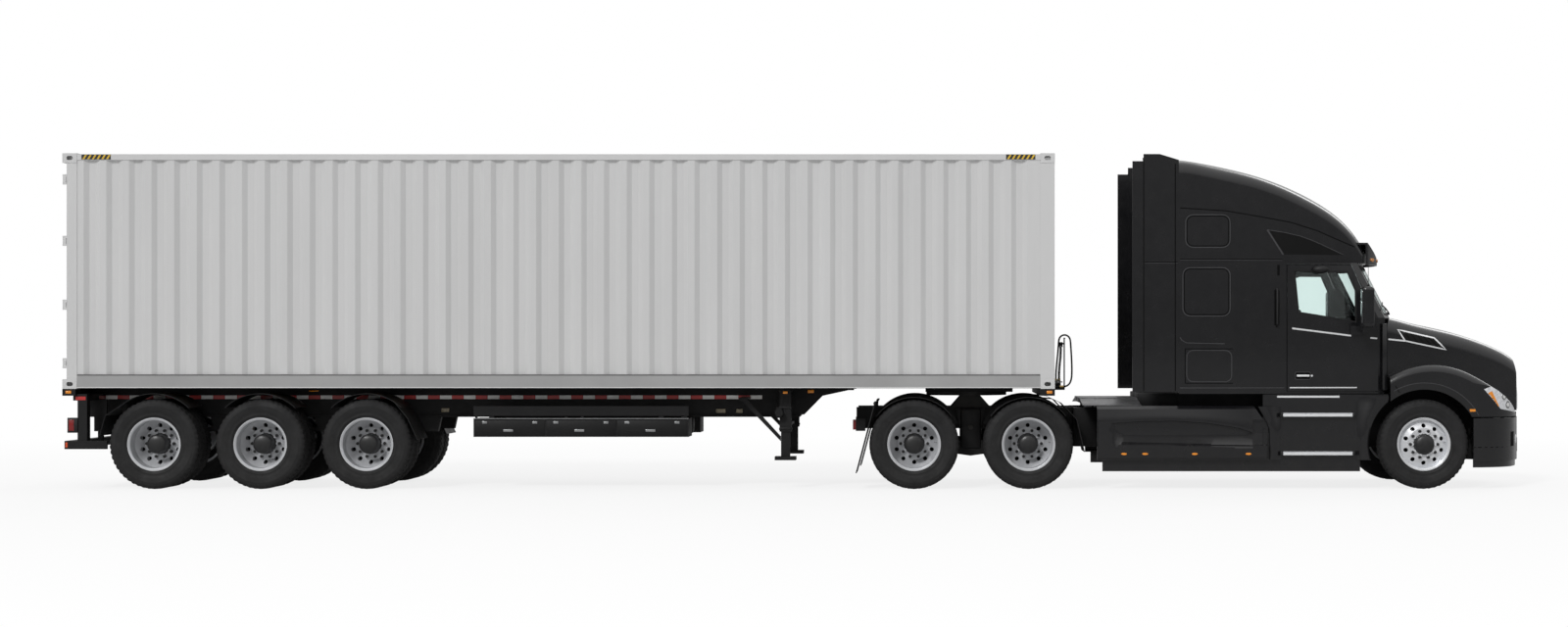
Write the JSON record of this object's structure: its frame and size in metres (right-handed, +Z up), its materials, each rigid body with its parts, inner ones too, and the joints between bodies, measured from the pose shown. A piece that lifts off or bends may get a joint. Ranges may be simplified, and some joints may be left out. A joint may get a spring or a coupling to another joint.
{
  "type": "container truck",
  "caption": "Articulated container truck: black sleeper tractor with a hood, pulling a tri-axle gooseneck chassis that carries a grey high-cube shipping container.",
  "frame": {"origin": "on the ground below the middle of the truck", "axes": "+X to the front of the truck, +Y to its left, +Z up"},
  "size_m": [18.0998, 2.88, 4.131],
  "materials": {
    "chassis_black": "satin",
    "cab_black": "gloss",
    "trim_black": "matte",
    "rubber_black": "matte",
    "tyre_black": "matte",
    "wheel_silver": "satin",
    "wheel_polished": "polished",
    "tread_plate": "satin",
    "container_grey": "matte",
    "plywood": "matte",
    "glass": "gloss",
    "lamp_clear": "gloss",
    "lamp_red": "gloss",
    "cast_iron": "rough",
    "interior_grey": "matte"
  },
  "bodies": {
    "tractor": {"tractor_frame": "chassis_black", "tractor_axles": "chassis_black", "fifth_wheel": "cast_iron", "engine": "cast_iron", "cab_shell": "cab_black", "roof_cap": "cab_black", "windshield": "glass", "cab_interior": "interior_grey", "bumper": "cab_black", "side_fairings": "cab_black", "steps_and_deck": "tread_plate", "drive_fenders": "trim_black", "tractor_lamps": "lamp_red"},
    "hood": {"hood_shell": "cab_black", "grille": "trim_black", "headlamps": "lamp_clear"},
    "trailer": {"chassis_frame": "chassis_black", "trailer_axles": "chassis_black", "landing_gear": "chassis_black", "trailer_fenders": "trim_black", "trailer_lamps": "lamp_red", "container_frame": "container_grey", "container_panels": "container_grey", "container_floor": "plywood", "air_hose": "rubber_black", "power_cable": "rubber_black"},
    "door_r": {"door_r": "cab_black", "door_glass_r": "glass"},
    "luggage_door_r": {"luggage_door_r": "cab_black"},
    "knuckle_r": {"knuckle_r": "cast_iron"},
    "wheel_front_r": {"tyre_front_r": "tyre_black", "rim_front_r": "wheel_polished"},
    "wheel_drive1_r": {"tyre_drive1_r": "tyre_black", "rim_drive1_r": "wheel_silver"},
    "wheel_drive2_r": {"tyre_drive2_r": "tyre_black", "rim_drive2_r": "wheel_silver"},
    "wheel_trailer1_r": {"tyre_trailer1_r": "tyre_black", "rim_trailer1_r": "wheel_silver"},
    "wheel_trailer2_r": {"tyre_trailer2_r": "tyre_black", "rim_trailer2_r": "wheel_silver"},
    "wheel_trailer3_r": {"tyre_trailer3_r": "tyre_black", "rim_trailer3_r": "wheel_silver"},
    "container_door_r": {"container_door_r": "container_grey"},
    "door_l": {"door_l": "cab_black", "door_glass_l": "glass"},
    "luggage_door_l": {"luggage_door_l": "cab_black"},
    "knuckle_l": {"knuckle_l": "cast_iron"},
    "wheel_front_l": {"tyre_front_l": "tyre_black", "rim_front_l": "wheel_polished"},
    "wheel_drive1_l": {"tyre_drive1_l": "tyre_black", "rim_drive1_l": "wheel_silver"},
    "wheel_drive2_l": {"tyre_drive2_l": "tyre_black", "rim_drive2_l": "wheel_silver"},
    "wheel_trailer1_l": {"tyre_trailer1_l": "tyre_black", "rim_trailer1_l": "wheel_silver"},
    "wheel_trailer2_l": {"tyre_trailer2_l": "tyre_black", "rim_trailer2_l": "wheel_silver"},
    "wheel_trailer3_l": {"tyre_trailer3_l": "tyre_black", "rim_trailer3_l": "wheel_silver"},
    "container_door_l": {"container_door_l": "container_grey"}
  },
  "joints": [
    {"name": "hood_tilt", "type": "hinge", "parent": "tractor", "child": "hood", "pos_m": [8.9875, 0, 0.915], "axis": [0, 1, 0], "range_deg": [0, 70]},
    {"name": "door_r_swing", "type": "hinge", "parent": "tractor", "child": "door_r", "pos_m": [7.146, -1.02, 1.56], "axis": [0, 0, 1], "range_deg": [0, 70]},
    {"name": "luggage_door_r_swing", "type": "hinge", "parent": "tractor", "child": "luggage_door_r", "pos_m": [5.327, -1.205, 1.515], "axis": [0, 0, 1], "range_deg": [0, 90]},
    {"name": "steer_r", "type": "hinge", "parent": "tractor", "child": "knuckle_r", "pos_m": [7.6835, -0.876, 0.552], "axis": [0, 0, 1], "range_deg": [-38, 38]},
    {"name": "spin_front_r", "type": "hinge", "parent": "knuckle_r", "child": "wheel_front_r", "pos_m": [7.6835, -1.041, 0.552], "axis": [0, 1, 0], "continuous": true},
    {"name": "spin_drive1_r", "type": "hinge", "parent": "tractor", "child": "wheel_drive1_r", "pos_m": [1.4095, -0.9145, 0.552], "axis": [0, 1, 0], "continuous": true},
    {"name": "spin_drive2_r", "type": "hinge", "parent": "tractor", "child": "wheel_drive2_r", "pos_m": [2.8165, -0.9145, 0.552], "axis": [0, 1, 0], "continuous": true},
    {"name": "spin_trailer1_r", "type": "hinge", "parent": "trailer", "child": "wheel_trailer1_r", "pos_m": [-7.9335, -0.9145, 0.552], "axis": [0, 1, 0], "continuous": true},
    {"name": "spin_trailer2_r", "type": "hinge", "parent": "trailer", "child": "wheel_trailer2_r", "pos_m": [-6.6275, -0.9145, 0.552], "axis": [0, 1, 0], "continuous": true},
    {"name": "spin_trailer3_r", "type": "hinge", "parent": "trailer", "child": "wheel_trailer3_r", "pos_m": [-5.3215, -0.9145, 0.552], "axis": [0, 1, 0], "continuous": true},
    {"name": "container_door_r_swing", "type": "hinge", "parent": "trailer", "child": "container_door_r", "pos_m": [-9.0425, -1.206, 2.68], "axis": [0, 0, 1], "range_deg": [0, 260]},
    {"name": "door_l_swing", "type": "hinge", "parent": "tractor", "child": "door_l", "pos_m": [7.146, 1.02, 1.56], "axis": [0, 0, -1], "range_deg": [0, 70]},
    {"name": "luggage_door_l_swing", "type": "hinge", "parent": "tractor", "child": "luggage_door_l", "pos_m": [5.327, 1.205, 1.515], "axis": [0, 0, -1], "range_deg": [0, 90]},
    {"name": "steer_l", "type": "hinge", "parent": "tractor", "child": "knuckle_l", "pos_m": [7.6835, 0.876, 0.552], "axis": [0, 0, 1], "range_deg": [-38, 38]},
    {"name": "spin_front_l", "type": "hinge", "parent": "knuckle_l", "child": "wheel_front_l", "pos_m": [7.6835, 1.041, 0.552], "axis": [0, 1, 0], "continuous": true},
    {"name": "spin_drive1_l", "type": "hinge", "parent": "tractor", "child": "wheel_drive1_l", "pos_m": [1.4095, 0.9145, 0.552], "axis": [0, 1, 0], "continuous": true},
    {"name": "spin_drive2_l", "type": "hinge", "parent": "tractor", "child": "wheel_drive2_l", "pos_m": [2.8165, 0.9145, 0.552], "axis": [0, 1, 0], "continuous": true},
    {"name": "spin_trailer1_l", "type": "hinge", "parent": "trailer", "child": "wheel_trailer1_l", "pos_m": [-7.9335, 0.9145, 0.552], "axis": [0, 1, 0], "continuous": true},
    {"name": "spin_trailer2_l", "type": "hinge", "parent": "trailer", "child": "wheel_trailer2_l", "pos_m": [-6.6275, 0.9145, 0.552], "axis": [0, 1, 0], "continuous": true},
    {"name": "spin_trailer3_l", "type": "hinge", "parent": "trailer", "child": "wheel_trailer3_l", "pos_m": [-5.3215, 0.9145, 0.552], "axis": [0, 1, 0], "continuous": true},
    {"name": "container_door_l_swing", "type": "hinge", "parent": "trailer", "child": "container_door_l", "pos_m": [-9.0425, 1.206, 2.68], "axis": [0, 0, -1], "range_deg": [0, 260]},
    {"name": "coupling_swing", "type": "hinge", "parent": "tractor", "child": "trailer", "pos_m": [2.1185, 0, 1.183], "axis": [0, 0, 1], "range_deg": [-90, 90]}
  ],
  "couplings": [
    {"joint": "steer_l", "follows": "steer_r", "ratio": 1}
  ]
}
